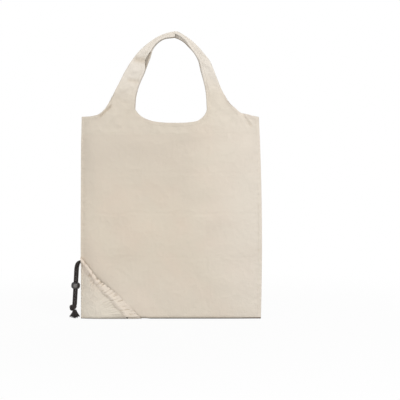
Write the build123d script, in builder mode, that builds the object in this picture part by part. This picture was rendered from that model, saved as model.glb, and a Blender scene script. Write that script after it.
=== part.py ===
"""A foldable cotton tote bag that packs into its own corner pouch.

Millimetres, +Z up, the front panel towards -Y, origin under the middle of the bag on the surface
it stands on. Two panels are seamed at the sides and joined by a bottom fold. Each panel carries a
loop handle. A cap of cloth covers the lower left corner on both faces, and its slanting mouth has
a cord channel. One drawstring runs up each channel and hangs from the left seam, through a bead,
to a knot.
"""

import os
from math import asin, cos, degrees, pi, radians, sin, tan

from build123d import *

FRONT = -1  # the side of the bag that a piece belongs to, as the sign of its y
BACK = 1

# Cloth and sewing
cloth = 0.6  # one layer of cotton
layer_gap = 0.1  # between layers that lie on each other
seam_thickness = 1.2  # the folded allowances inside a seam
seam_width = 9.0  # how wide the two panels lie flat together along each side
hinge_gap = 0.4  # between the edges of two pieces that fold against each other

# Body
body_width = 380.0
body_height = 431.0  # to the shoulders
half_depth = 13.0  # centre plane to the outer face of a panel
side_slope = 23.0  # width of the stretch where a panel runs in to its side seam
fold_height = 226.0  # crease half-way up, where the bag folds over its front
facing_depth = 38.0  # how far the inner facing reaches below the shoulders
facing_margin = 8.0  # the facing stops this far short of each side seam

# Mouth and handles, measured from the middle of the bag
shoulder_rise = 17.0  # the shoulders climb this far to where a handle starts and folds
strap_outside = 137.5  # outer edge of each strap at its base
strap_inside = 77.0  # inner edge of each strap at its base
mouth_dip = 30.0  # the mouth's lowest edge lies this far below the start of the handles
mouth_flat_left = -17.0  # the lowest edge is level between these two places
mouth_flat_right = 49.0
handle_rise = 165.0  # handle base to the top of the loop
loop_top = 11.0  # the top of the loop lies this far right of the middle
strap_end = 14.0  # height of the gathered strap where its two halves are joined
apex_gap = 0.4  # centre plane to the back of a handle's top seam

# Corner pouch on the lower left corner
pouch_height = 128.0  # mouth edge on the left seam
pouch_width = 117.0  # mouth edge on the bottom fold, from the left seam
pouch_gap = 4.8  # space between the pouch and the panel it lies on
mouth_drop = 11.0  # the channel's middle lies this far below the mouth edge
cord_crossing = 98.0  # the cord passes under the bag this far in from the left seam
pouch_notch = 2.5  # extra room round the cord where it leaves the pouch
channel_bore = 5.8
channel_wall = 0.6

# Drawstring, tail, bead and knot
cord_diameter = 5.0
strand_gap = 0.3  # between the two strands of the tail
notch_clearance = 1.0  # round the cord where it passes under the bottom fold
floor_gap = 0.8  # the cord clears the floor by this much there
bead_diameter = 18.9
bead_height = 14.8
bead_edge_radius = 6.0
bead_clearance = 0.3
bead_centre_height = 71.0
knot_radius = 8.0
knot_height = 12.0
cord_end_length = 17.0
cord_end_width = 9.0
cord_end_splay = 12.0  # degrees each frayed end leans away from the other

half_width = body_width / 2
handle_base = body_height + shoulder_rise
mouth_low = handle_base - mouth_dip
seam_edge = half_width - seam_width
slope_edge = seam_edge - side_slope
flange_face = seam_thickness / 2 + layer_gap + cloth  # outer face of a panel at a side seam
pouch_face = half_depth + pouch_gap + cloth
pouch_flange_face = flange_face + layer_gap + cloth
channel_radius = channel_bore / 2 + channel_wall
channel_centre = pouch_face + layer_gap + channel_radius
strand_offset = (cord_diameter + strand_gap) / 2
exit_depth = pouch_flange_face + layer_gap + channel_radius  # the cord's exits, from the seam

exit_height = pouch_height - mouth_drop
notch_place = cord_crossing - half_width
bottom_pass = cord_diameter / 2 + floor_gap  # height of the cord's middle under the bottom fold
notch_width = cord_diameter + 2 * notch_clearance
notch_height = bottom_pass + cord_diameter / 2 + notch_clearance

# The hand-laid route of the drawstring in the front channel, from its exit on the left seam to the
# bottom fold. Each entry is a point and the radius of its bend. The back of the bag mirrors it.
channel_route = [
    ((-half_width, -exit_depth, exit_height), None),
    ((-half_width + 9.0, -exit_depth - 1.2, exit_height - 3.0), 9.0),
    ((-half_width + 32.0, -channel_centre - 0.7, exit_height - 35.0), 12.0),
    ((notch_place - 5.5, -channel_centre, bottom_pass + 11.0), 8.0),
    ((notch_place, -channel_centre + 2.0, bottom_pass), 6.0),
]
channel_short = 6.0  # the channel ends this far before the cord turns under the bag

# The two strands of the tail leave the left seam, turn down and fall straight through the bead
fall_top = Vector(-half_width - 12.0, 0, exit_height - 10.0)
fall_bottom = Vector(-half_width - 16.4, 0, exit_height - 86.0)
upwards = (fall_top - fall_bottom).normalized()
sideways = Vector(upwards.Z, 0, -upwards.X)
outer_turn = [
    (-half_width, -exit_depth, exit_height),
    (-half_width - 7.2, -exit_depth + 0.96, exit_height + 2.4),
    (-half_width - 13.0, -exit_depth + 2.8, exit_height - 0.8),
]
inner_turn = [
    (-half_width, exit_depth, exit_height),
    (-half_width - 5.4, exit_depth - 0.72, exit_height + 1.8),
    (-half_width - 9.2, exit_depth - 2.4, exit_height - 1.7),
]

os.makedirs("parts", exist_ok=True)


def save(piece, name):
    """Label a finished piece and write it as a node of its own."""
    piece.label = name
    export_step(piece, f"parts/{name}.step")


def side_name(side):
    """The word for a side of the bag."""
    return "front" if side == FRONT else "back"


def wall_face(side, centre_y, flange_y, reach=half_width):
    """Plan of a cloth wall: level at centre_y in the middle and at flange_y over the side seams.

    Both are distances of its outer face from the centre plane. The wall runs out to reach.
    """
    outer = [
        (-half_width, flange_y),
        (-seam_edge, flange_y),
        (-slope_edge, centre_y),
        (slope_edge, centre_y),
        (seam_edge, flange_y),
        (half_width, flange_y),
    ]
    inner = [(x, y - cloth) for x, y in reversed(outer)]
    corners = [(x, side * y) for x, y in outer + inner]
    Polygon(*corners, align=None)
    if reach < half_width:
        Rectangle(2 * reach, 4 * centre_y, mode=Mode.INTERSECT)


def cord_path(points, radii):
    """Straight runs joined by tangent arcs, with the radii printed as a check."""
    print("bend radii:", ", ".join(f"{radius:.1f}" for radius in radii))
    return FilletPolyline(*points, radius=radii)


def loose_radii(points):
    """Bend radii of a free cord: 0.45 of the shorter run over the tangent of half the turn."""
    radii = []
    for before, here, after in zip(points, points[1:], points[2:]):
        arriving = Vector(here) - Vector(before)
        leaving = Vector(after) - Vector(here)
        shorter = min(arriving.length, leaving.length)
        half_turn = radians(arriving.get_angle(leaving)) / 2
        radii.append(0.45 * shorter / tan(half_turn))
    return radii


def check_tube(name, piece, path):
    """Print a tube's volume beside its section times its length."""
    section = pi * (cord_diameter / 2) ** 2
    print(f"{name}: length {path.length:.1f}, volume {piece.volume:.1f}, "
          f"section times length {section * path.length:.1f}")


def cord_notch(clearance, mode=Mode.ADD):
    """The gap in a wall's lower edge where the cord passes, as seen from the front."""
    with Locations((notch_place, 0)):
        Rectangle(notch_width + 2 * clearance, 2 * (notch_height + clearance), mode=mode)


# ---------------------------------------------------------------- lower half of the bag
lower_top = fold_height - hinge_gap / 2
upper_bottom = fold_height + hinge_gap / 2

for side in (FRONT, BACK):
    with BuildPart() as panel_lower:
        with BuildSketch():
            wall_face(side, half_depth, flange_face)
        extrude(amount=lower_top)
        with BuildSketch(Plane.XZ):
            cord_notch(cloth + layer_gap)
        extrude(amount=2 * half_depth, both=True, mode=Mode.SUBTRACT)
    save(panel_lower.part, f"{side_name(side)}_panel_lower")

bottom_reach = half_depth - cloth - layer_gap  # the bottom fold lies inside the two panels
bottom_flange = flange_face - cloth - layer_gap
with BuildPart() as bottom_fold:
    with BuildSketch():
        Polygon(
            (-slope_edge, -bottom_reach),
            (slope_edge, -bottom_reach),
            (seam_edge, -bottom_flange),
            (seam_edge, bottom_flange),
            (slope_edge, bottom_reach),
            (-slope_edge, bottom_reach),
            (-seam_edge, bottom_flange),
            (-seam_edge, -bottom_flange),
            align=None,
        )
    extrude(amount=cloth)
    with BuildSketch(Plane.XZ):
        with Locations((notch_place, (notch_height + cloth) / 2)):
            Rectangle(notch_width + 2 * cloth, notch_height + cloth)
    extrude(amount=half_depth, both=True)
    with BuildSketch(Plane.XZ):
        with Locations((notch_place, notch_height / 2)):
            Rectangle(notch_width, notch_height)
    extrude(amount=half_depth, both=True, mode=Mode.SUBTRACT)
save(bottom_fold.part, "bottom_fold")

for hand, x_sign in (("left", -1), ("right", 1)):
    seam_middle = x_sign * (half_width - seam_width / 2)
    for level, low, high in (
        ("lower", cloth + layer_gap, lower_top),
        ("upper", upper_bottom, body_height),
    ):
        with BuildPart() as side_seam:
            with BuildSketch(Plane.XY.offset(low)):
                with Locations((seam_middle, 0)):
                    Rectangle(seam_width, seam_thickness)
            extrude(amount=high - low)
        save(side_seam.part, f"{hand}_seam_{level}")

# ---------------------------------------------------------------- upper half of the bag
upper_top = handle_base - hinge_gap / 2


def mouth_outline():
    """The outline of a panel, with its shoulders, strap roots and the dip of the mouth."""
    with BuildLine() as outline:
        left_shoulder = Spline(
            (-half_width, body_height),
            (-strap_outside, handle_base),
            tangents=[(1, 0.1), (1, 1)],
        )
        Line(left_shoulder @ 1, (-strap_inside, handle_base))
        Spline(
            (-strap_inside, handle_base),
            (mouth_flat_left, mouth_low),
            tangents=[(0.3, -1), (1, 0)],
        )
        Line((mouth_flat_left, mouth_low), (mouth_flat_right, mouth_low))
        Spline(
            (mouth_flat_right, mouth_low),
            (strap_inside, handle_base),
            tangents=[(1, 0), (0.1, 1)],
        )
        right_shoulder = Spline(
            (strap_outside, handle_base),
            (half_width, body_height),
            tangents=[(1, -1), (1, -0.1)],
        )
        Line((strap_inside, handle_base), right_shoulder @ 0)
        Polyline(
            right_shoulder @ 1,
            (half_width, 0),
            (-half_width, 0),
            left_shoulder @ 0,
        )
    make_face(outline.edges())


for side in (FRONT, BACK):
    with BuildPart() as panel_upper:
        with BuildSketch(Plane.XY.offset(upper_bottom)):
            wall_face(side, half_depth, flange_face)
        extrude(amount=upper_top - upper_bottom)
        with BuildSketch(Plane.XZ):
            mouth_outline()
        extrude(amount=2 * half_depth, both=True, mode=Mode.INTERSECT)
    save(panel_upper.part, f"{side_name(side)}_panel_upper")

    facing_bottom = body_height - facing_depth
    facing_face = half_depth - cloth - layer_gap
    facing_flange = flange_face - cloth - layer_gap
    with BuildPart() as facing:
        with BuildSketch(Plane.XY.offset(facing_bottom)):
            wall_face(side, facing_face, facing_flange, reach=seam_edge - facing_margin)
        extrude(amount=upper_top - facing_bottom)
        with BuildSketch(Plane.XZ):
            mouth_outline()
        extrude(amount=2 * half_depth, both=True, mode=Mode.INTERSECT)
    save(facing.part, f"{side_name(side)}_facing")

# ---------------------------------------------------------------- handles
seam_stack = cloth + layer_gap + seam_thickness  # strap and the folded seam behind it
lean = asin((half_depth - seam_stack - apex_gap) / handle_rise)
handle_length = handle_rise / cos(lean)


def strap_outline(x_sign):
    """One half of a handle, from its base to the join at the top of the loop.

    The edges pass through shares of the strap's base position and of the loop's height.
    """
    if x_sign < 0:
        outer_shares = [(0.84, 0.25), (0.68, 0.52), (0.44, 0.79), (0.12, 0.95)]
        inner_shares = [(0.92, 0.28), (0.71, 0.57), (0.49, 0.88)]
    else:
        outer_shares = [(0.84, 0.16), (0.77, 0.25), (0.63, 0.56), (0.51, 0.72), (0.28, 0.89)]
        inner_shares = [(0.97, 0.28), (0.84, 0.61), (0.60, 0.84)]
    outer = [(x_sign * strap_outside * x, handle_length * h) for x, h in outer_shares]
    inner_length = handle_length - strap_end
    inner = [(x_sign * strap_inside * x, inner_length * h) for x, h in inner_shares]
    join = loop_top + x_sign * hinge_gap / 2
    with BuildLine() as outline:
        outer_base = (x_sign * strap_outside, hinge_gap / 2)
        inner_base = (x_sign * strap_inside, hinge_gap / 2)
        Spline(outer_base, *outer, (join, handle_length))
        Line((join, handle_length), (join, inner_length))
        Spline((join, inner_length), *reversed(inner), inner_base)
        Line(inner_base, outer_base)
    make_face(outline.edges())


for side in (FRONT, BACK):
    inwards = Vector(0, -side * cos(lean), -sin(lean))
    outer_face = Plane(
        origin=(0, side * half_depth, handle_base),
        x_dir=(1, 0, 0),
        z_dir=(0, -cos(lean), -side * sin(lean)),
    )
    for hand, x_sign in (("left", -1), ("right", 1)):
        with BuildPart() as strap:
            with BuildSketch(outer_face):
                strap_outline(x_sign)
            extrude(amount=cloth, dir=inwards)
        save(strap.part, f"{side_name(side)}_strap_{hand}")
    with BuildPart() as strap_seam:
        with BuildSketch(outer_face.offset(side * (cloth + layer_gap))):
            with Locations((loop_top, handle_length - strap_end / 2)):
                Rectangle(seam_width, strap_end)
        extrude(amount=seam_thickness, dir=inwards)
    save(strap_seam.part, f"{side_name(side)}_strap_seam")


# ---------------------------------------------------------------- corner pouch
def pouch_outline():
    """The triangle of the pouch below its mouth, seen from the front."""
    Polygon(
        (-half_width, 0),
        (-half_width + pouch_width, 0),
        (-half_width, pouch_height),
        align=None,
    )


for side in (FRONT, BACK):
    with BuildPart() as pouch:
        with BuildSketch():
            wall_face(side, pouch_face, pouch_flange_face)
        extrude(amount=pouch_height)
        with BuildSketch():
            corners = [
                (-seam_edge, flange_face + layer_gap),
                (-slope_edge, half_depth + layer_gap),
                (-half_width + pouch_width, half_depth + layer_gap),
                (-half_width + pouch_width, pouch_face - cloth / 2),
                (-slope_edge, pouch_face - cloth / 2),
                (-seam_edge, pouch_flange_face - cloth / 2),
            ]
            Polygon(*[(x, side * y) for x, y in corners], align=None)
        extrude(amount=cloth)
        with BuildSketch(Plane.XZ):
            pouch_outline()
            cord_notch(pouch_notch, mode=Mode.SUBTRACT)
        extrude(amount=2 * pouch_face, both=True, mode=Mode.INTERSECT)
    save(pouch.part, f"{side_name(side)}_pouch")


def on_side(side, point):
    """A point of the front route, or its mirror image on the back of the bag."""
    x, y, z = point
    return (x, -side * y, z)


route_points = [point for point, radius in channel_route]
route_radii = [radius for point, radius in channel_route if radius]

last_run = Vector(route_points[3]) - Vector(route_points[2])
channel_end = tuple(Vector(route_points[3]) - last_run.normalized() * channel_short)

# Each channel is stitched along its side of the pouch's mouth
for side in (FRONT, BACK):
    with BuildPart() as channel:
        with BuildLine() as channel_line:
            FilletPolyline(
                *[on_side(side, point) for point in route_points[:3]],
                on_side(side, channel_end),
                radius=route_radii[:2],
            )
        with BuildSketch(Plane(channel_line.line @ 0, z_dir=channel_line.line % 0)):
            Circle(channel_radius)
            Circle(channel_bore / 2, mode=Mode.SUBTRACT)
        sweep()
    save(channel.part, f"{side_name(side)}_channel")

# ---------------------------------------------------------------- drawstring
back_points = [on_side(BACK, point) for point in reversed(route_points)]
with BuildPart() as drawstring:
    with BuildLine() as drawstring_line:
        cord_path(route_points + back_points, route_radii + route_radii[::-1])
    with BuildSketch(Plane(drawstring_line.line @ 0, z_dir=drawstring_line.line % 0)):
        Circle(cord_diameter / 2)
    sweep()
check_tube("drawstring", drawstring.part, drawstring_line.wire())
save(drawstring.part, "drawstring")

# ---------------------------------------------------------------- tail, bead and knot
for name, turn, offset in (
    ("cord_tail_front", outer_turn, -strand_offset),
    ("cord_tail_back", inner_turn, strand_offset),
):
    tail_points = turn + [tuple(fall_top + sideways * offset), tuple(fall_bottom + sideways * offset)]
    with BuildPart() as tail:
        with BuildLine() as tail_line:
            cord_path(tail_points, loose_radii(tail_points))
        with BuildSketch(Plane(tail_line.line @ 0, z_dir=tail_line.line % 0)):
            Circle(cord_diameter / 2)
        sweep()
    check_tube(name, tail.part, tail_line.wire())
    save(tail.part, name)

share_up = (bead_centre_height - fall_bottom.Z) / (fall_top.Z - fall_bottom.Z)
bead_centre = fall_bottom + (fall_top - fall_bottom) * share_up
bead_plane = Plane(bead_centre, x_dir=sideways, z_dir=upwards)
with BuildPart() as bead:
    with BuildSketch(bead_plane):
        Circle(bead_diameter / 2)
    extrude(amount=bead_height / 2, both=True)
    fillet(bead.edges(), radius=bead_edge_radius)
    with BuildSketch(bead_plane):
        bore_width = cord_diameter + 2 * bead_clearance
        SlotOverall(2 * strand_offset + bore_width, bore_width)
    extrude(amount=bead_height, both=True, mode=Mode.SUBTRACT)
save(bead.part, "bead")

knot_centre = fall_bottom - upwards * knot_height / 2
knot_plane = Plane(knot_centre, x_dir=sideways, z_dir=upwards)
with BuildPart(knot_plane) as knot:
    Sphere(knot_radius)
    with BuildSketch(knot_plane):
        Circle(knot_radius)
    extrude(amount=knot_height / 2, both=True, mode=Mode.INTERSECT)
save(knot.part, "cord_knot")

for name, x_sign in (("cord_end_front", -1), ("cord_end_back", 1)):
    splay = radians(cord_end_splay)
    away = upwards * -cos(splay) + sideways * x_sign * sin(splay)
    root = knot_centre - upwards * (knot_height / 2 + sin(splay) * cord_diameter / 2 + layer_gap)
    end_plane = Plane(root + sideways * x_sign * strand_offset, z_dir=away)
    with BuildPart() as cord_end:
        with BuildSketch(end_plane):
            Circle(cord_diameter / 2)
        with BuildSketch(end_plane.offset(cord_end_length)):
            Circle(cord_end_width / 2)
        loft()
    save(cord_end.part, name)

straight_top = fall_top.Z - 0.45 * (Vector(outer_turn[-1]) - fall_top).length
print(f"handles lean {degrees(lean):.2f} degrees, length {handle_length:.1f}")
print(f"bead slides {fall_bottom.Z + bead_height / 2 - bead_centre_height:.1f} "
      f"to {straight_top - bead_height / 2 - bead_centre_height:.1f} along {tuple(upwards)}")
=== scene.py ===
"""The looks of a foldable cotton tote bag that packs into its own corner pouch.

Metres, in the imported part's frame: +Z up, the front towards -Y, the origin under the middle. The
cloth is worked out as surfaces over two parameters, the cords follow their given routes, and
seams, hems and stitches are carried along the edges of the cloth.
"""

from math import cos, pi, radians, sin, tau

import bpy
import numpy as np
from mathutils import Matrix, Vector


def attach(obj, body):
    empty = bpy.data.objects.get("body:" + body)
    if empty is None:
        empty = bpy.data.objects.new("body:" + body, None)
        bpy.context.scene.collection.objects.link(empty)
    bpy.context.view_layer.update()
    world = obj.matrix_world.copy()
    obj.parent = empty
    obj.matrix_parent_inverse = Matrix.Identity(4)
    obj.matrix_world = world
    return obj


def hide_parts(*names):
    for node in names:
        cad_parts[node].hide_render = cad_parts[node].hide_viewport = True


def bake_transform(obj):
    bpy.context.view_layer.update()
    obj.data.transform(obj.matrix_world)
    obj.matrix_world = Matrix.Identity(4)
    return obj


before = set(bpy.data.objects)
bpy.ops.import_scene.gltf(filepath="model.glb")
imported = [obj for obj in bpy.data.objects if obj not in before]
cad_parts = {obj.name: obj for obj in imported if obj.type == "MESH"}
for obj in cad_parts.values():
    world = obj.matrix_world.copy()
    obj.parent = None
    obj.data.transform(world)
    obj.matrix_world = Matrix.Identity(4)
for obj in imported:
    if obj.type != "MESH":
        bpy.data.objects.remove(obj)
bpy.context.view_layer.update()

mm = 0.001
FRONT = -1  # the side of the bag that a piece belongs to, as the sign of its y
BACK = 1
SIDES = {FRONT: "front", BACK: "back"}

# Cloth and sewing
cloth_thickness = 0.6 * mm
stitch_pitch = 3.3 * mm
stitch_length = 2.3 * mm
stitch_radius = 0.32 * mm
seam_width = 4 * mm  # the two walls lie flat together along each side
seam_half = 1.25 * mm  # centre plane to a wall's outer face over a side seam
slope_width = 46 * mm  # the stretch where a wall rises from the side seam
slope_power = 2.2  # how early that rise eases out

# Body
body_height = 431 * mm
foot_reach = 193 * mm  # the foot of the left side seam, from the middle
half_depth = 13 * mm
facing_line = 393 * mm
fold_line = 226 * mm
foot_radius = 9 * mm
foot_power = 2.4  # how full the rounding of the foot is

# Mouth and handles, as seen from the front
handle_base = 448 * mm
strap_outside = 137.5 * mm
strap_inside = 77 * mm
apex_depth = 8 * mm  # centre plane to a handle's outer face at the top of the loop
fold_radius = 2.5 * mm  # of a strap folded along its length
notch_height = 548 * mm  # where the front left strap's inner edge is drawn back furthest

# Corner pouch
pouch_depth = 18.4 * mm
pouch_seam_half = 2.1 * mm
mouth_top = 131 * mm
mouth_end = -62 * mm
casing_top = 112 * mm
casing_end = -92 * mm
off_mouth = (0.712, 0.702)  # x and z of the direction square to the mouth, away from the corner
off_casing = (0.743, 0.669)  # the same for the stitched foot of the casing
gathered_length = 174 * mm  # the cloth along the mouth that the gathers are spread over

# Cords
cord_diameter = 5 * mm
cord_crossing = -92 * mm  # where the drawstring passes under the bag


# ---------------------------------------------------------------- camera, light and floor
def put_in_scene(name, data):
    """A new object with that data."""
    thing = bpy.data.objects.new(name, data)
    bpy.context.scene.collection.objects.link(thing)
    return thing


def aim(thing, target):
    """Turn a camera or lamp so that it looks at the target."""
    direction = Vector(target) - thing.location
    thing.rotation_euler = direction.to_track_quat("-Z", "Y").to_euler()


def place_camera():
    """A long lens in front of the bag, a little above its middle."""
    lens = 85
    sensor_width = 36
    frame_width = 0.854  # what the lens takes in at the target
    distance = frame_width * lens / sensor_width
    lift = radians(1.6)
    data = bpy.data.cameras.new("camera")
    data.lens = lens
    camera = put_in_scene("camera", data)
    target = Vector((0.062, 0, 0.254))
    camera.location = target + Vector((0, -distance * cos(lift), distance * sin(lift)))
    aim(camera, target)
    bpy.context.scene.camera = camera


def area_lamp(name, place, target, size, power):
    """A square soft light."""
    data = bpy.data.lights.new(name, "AREA")
    data.size = size
    data.energy = power
    lamp = put_in_scene(name, data)
    lamp.location = place
    aim(lamp, target)


def feed(node, inputs):
    """Link inputs of a node to other sockets, or set them to plain values, by their names or numbers."""
    for key, value in inputs.items():
        if isinstance(value, bpy.types.NodeSocket):
            node.id_data.links.new(value, node.inputs[key])
        elif value is not None:
            node.inputs[key].default_value = value


def new_node(tree, kind, inputs, **settings):
    """A new node with those settings and inputs."""
    node = tree.nodes.new(kind)
    for name, value in settings.items():
        setattr(node, name, value)
    feed(node, inputs)
    return node


def camera_sees(tree):
    """1 for camera, glossy and transmission rays, and 0 for the light that falls on things."""
    path = tree.nodes.new("ShaderNodeLightPath")
    total = path.outputs["Is Camera Ray"]
    for other in ("Is Glossy Ray", "Is Transmission Ray"):
        total = math_node(tree, "MAXIMUM", total, path.outputs[other])
    return total


def show_mix(tree, share, first, second, output):
    """Let a tree show a mix of two shader nodes, the first at share 0 and the second at share 1."""
    mix = new_node(tree, "ShaderNodeMixShader", {0: share, 1: first.outputs[0], 2: second.outputs[0]})
    new_node(tree, output, {0: mix.outputs[0]})


def light_room():
    """White all round, with a broad key from the right, a weak fill from the left and a back light."""
    world = bpy.data.worlds.new("studio")
    bpy.context.scene.world = world
    world.use_nodes = True
    tree = world.node_tree
    tree.nodes.clear()
    plain = new_node(tree, "ShaderNodeBackground", {"Color": (1, 1, 1, 1), "Strength": 0.6})
    white = new_node(tree, "ShaderNodeBackground", {"Color": (1, 1, 1, 1)})
    show_mix(tree, camera_sees(tree), plain, white, "ShaderNodeOutputWorld")
    middle = (0, 0, 0.3)
    area_lamp("key", (1.3, -2.3, 1.9), middle, 1.1, 38)
    area_lamp("fill", (-1.6, -2.5, 0.9), middle, 1.6, 15)
    area_lamp("back", (0.6, 2.7, 1.5), middle, 1.6, 30)


def lay_floor():
    """A white floor that keeps the bag's shadow and otherwise melts into the background."""
    reach = 4.0
    points = np.array([(-reach, -reach, 0), (reach, -reach, 0), (reach, reach, 0), (-reach, reach, 0)])
    floor = new_piece("floor", points, np.array([(0, 1, 2, 3)]))
    material = bpy.data.materials.new("floor_white")
    material.use_nodes = True
    tree = material.node_tree
    tree.nodes.clear()
    matte = new_node(tree, "ShaderNodeBsdfDiffuse", {"Color": (0.68, 0.68, 0.68, 1)})
    glow = new_node(tree, "ShaderNodeEmission", {"Color": (1, 1, 1, 1)})
    away = new_node(tree, "ShaderNodeVectorMath", {0: object_place(tree)}, operation="LENGTH")
    fade = ramp(tree, away.outputs["Value"], 0.3, 1.1, 0.94, 1.0)
    share = math_node(tree, "MULTIPLY", camera_sees(tree), fade)
    show_mix(tree, share, matte, glow, "ShaderNodeOutputMaterial")
    floor.data.materials.append(material)


# ---------------------------------------------------------------- numpy shapes
def smooth_step(value):
    """0 below 0, 1 above 1 and the S-curve 3t^2 - 2t^3 between."""
    t = np.clip(value, 0, 1)
    return t * t * (3 - 2 * t)


def bell(away, width):
    """A bell curve: 1 at no distance away, 1/e at the width."""
    return np.exp(-((away / width) ** 2))


def unit(vectors):
    """Each vector divided by its length."""
    return vectors / np.maximum(np.linalg.norm(vectors, axis=-1, keepdims=True), 1e-12)


def stacked(*columns):
    """Points from their coordinates, each given as an array or as one number for all of them."""
    return np.stack(np.broadcast_arrays(*columns), -1)


def length_of(line):
    """The whole length of a line."""
    return np.linalg.norm(np.diff(line, axis=0), axis=1).sum()


def distances(line):
    """How far along a line each of its points lies."""
    return np.concatenate([[0], np.cumsum(np.linalg.norm(np.diff(line, axis=0), axis=1))])


def resampled(count, *lines):
    """Several lines read at the same evenly spaced places of the first."""
    along = distances(lines[0])
    wanted = np.linspace(0, along[-1], count)
    return [np.stack([np.interp(wanted, along, column) for column in line.T], axis=1) for line in lines]


def through(points, count):
    """A smooth curve through points in millimetres, evenly spaced: a cubic over each stretch, which
    leaves and arrives along the chord between the neighbouring points."""
    points = np.array(points) * mm
    knots = distances(points)
    slopes = np.gradient(points, knots, axis=0)
    at = np.linspace(0, knots[-1], 40 * len(points))
    i = np.clip(np.searchsorted(knots, at, side="right") - 1, 0, len(points) - 2)
    span = (knots[i + 1] - knots[i])[:, None]
    t = (at - knots[i])[:, None] / span
    curve = (
        (2 * t**3 - 3 * t**2 + 1) * points[i]
        + (t**3 - 2 * t**2 + t) * span * slopes[i]
        + (3 * t**2 - 2 * t**3) * points[i + 1]
        + (t**3 - t**2) * span * slopes[i + 1]
    )
    return resampled(count, curve)[0]


def relief(u, v, size, seed, stretch=1.0, turn=0.0):
    """Soft uneven relief between about -1 and 1: sine waves of about one length, in random directions.
    The bumps are stretch times longer along the direction turn, in radians."""
    random = np.random.default_rng(seed)
    waves = 14
    along = (u * cos(turn) + v * sin(turn)) / stretch
    across = v * cos(turn) - u * sin(turn)
    total = np.zeros(np.broadcast(u, v).shape)
    for _ in range(waves):
        heading = random.uniform(0, pi)
        rate = tau / size * random.uniform(0.6, 1.5)
        phase = random.uniform(0, tau)
        total += np.sin(rate * (along * cos(heading) + across * sin(heading)) + phase)
    return total / 4


def ridges(u, v, size, seed, stretch=1.0, turn=0.0):
    """Sharp-edged crumple relief from 0 to 1: one less the size of a soft relief, cubed."""
    return (1 - np.minimum(np.abs(relief(u, v, size, seed, stretch, turn)), 1)) ** 3


def crease(x, z, start, end, width, height):
    """A soft fold along a straight line: a bell across it, which fades out over the last three tenths
    of the line at either end."""
    start = np.array(start) * mm
    end = np.array(end) * mm
    length = np.linalg.norm(end - start)
    heading = (end - start) / length
    along = (x - start[0]) * heading[0] + (z - start[1]) * heading[1]
    away = (x - start[0]) * heading[1] - (z - start[1]) * heading[0]
    fading = 0.3 * length
    fade = smooth_step(along / fading) * smooth_step((length - along) / fading)
    return height * mm * bell(away, width * mm) * fade


# ---------------------------------------------------------------- meshes
def new_piece(name, points, faces, uv=None, material=None, crease_shade=None):
    """An object at the origin from points and faces, with one UV pair for each point. The attribute
    rest keeps the places of its points, for painted light and shade that change over the whole bag,
    and the last argument says how far down in a crease each point lies, from 0 to 1, for painted
    shade in the creases."""
    mesh = bpy.data.meshes.new(name)
    mesh.from_pydata(np.reshape(points, (-1, 3)).tolist(), [], [list(face) for face in faces])
    mesh.polygons.foreach_set("use_smooth", np.ones(len(mesh.polygons), bool))
    rest = mesh.attributes.new("rest", "FLOAT_VECTOR", "POINT")
    rest.data.foreach_set("vector", np.ravel(points).astype(np.float32))
    if crease_shade is not None:
        layer = mesh.attributes.new("crease_shade", "FLOAT", "POINT")
        layer.data.foreach_set("value", np.ravel(crease_shade).astype(np.float32))
    if uv is not None:
        corner = np.zeros(len(mesh.loops), np.int32)
        mesh.loops.foreach_get("vertex_index", corner)
        layer = mesh.uv_layers.new(name="cloth")
        layer.data.foreach_set("uv", np.reshape(uv, (-1, 2))[corner].astype(np.float32).ravel())
    if material:
        mesh.materials.append(material)
    return put_in_scene(name, mesh)


def grid_faces(index, flip=False):
    """Quads over a grid of point numbers, facing -Y where rows go up and columns go right."""
    quads = np.stack([index[:-1, :-1], index[:-1, 1:], index[1:, 1:], index[1:, :-1]], -1)
    quads = quads.reshape(-1, 4)
    return quads[:, ::-1] if flip else quads


def numbers(shape, first=0):
    """Point numbers for a grid of that shape, counted from first."""
    return np.arange(first, first + shape[0] * shape[1]).reshape(shape[:2])


def ring_numbers(shape):
    """Point numbers for a grid whose rows are rings, each of them closed by its first point."""
    index = numbers(shape)
    return np.concatenate([index, index[:, :1]], axis=1)


def capped_faces(index, flip=False):
    """Quads over a grid of rings, and a flat cap at either end."""
    return grid_faces(index, flip).tolist() + [index[0, :-1].tolist(), index[-1, :-1][::-1].tolist()]


def thin_tubes(lines, radius, across, up, sides=5):
    """Many capped tubes as points and faces, one along each line, with rings in the plane of across
    and up."""
    turns = np.linspace(0, tau, sides, endpoint=False)
    ring = np.cos(turns)[:, None] * across[..., None, :] + np.sin(turns)[:, None] * up[..., None, :]
    points = lines[..., None, :] + ring * np.asarray(radius)[..., None, None]
    count, rings = lines.shape[:2]
    one = capped_faces(ring_numbers((rings, sides)), flip=True)
    firsts = range(0, count * rings * sides, rings * sides)
    return points, [[corner + first for corner in face] for first in firsts for face in one]


def joined(parts):
    """One set of points, faces and UVs from several."""
    points = []
    faces = []
    uvs = []
    total = 0
    for part_points, part_faces, part_uv in parts:
        points.append(np.reshape(part_points, (-1, 3)))
        uvs.append(np.reshape(part_uv, (-1, 2)))
        faces += [[corner + total for corner in face] for face in part_faces]
        total += len(points[-1])
    return np.concatenate(points), faces, np.concatenate(uvs)


def thicken(piece, thickness=cloth_thickness):
    """Give a cloth its thickness, inwards from its outer face, with crisp cut edges."""
    mesh = piece.data
    edge = np.zeros(len(mesh.loops), np.int32)
    mesh.loops.foreach_get("edge_index", edge)
    cut = np.bincount(edge, minlength=len(mesh.edges)) == 1
    mesh.attributes.new("sharp_edge", "BOOLEAN", "EDGE").data.foreach_set("value", cut)
    solid = piece.modifiers.new("thickness", "SOLIDIFY")
    solid.thickness = thickness
    solid.offset = -1


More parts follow.
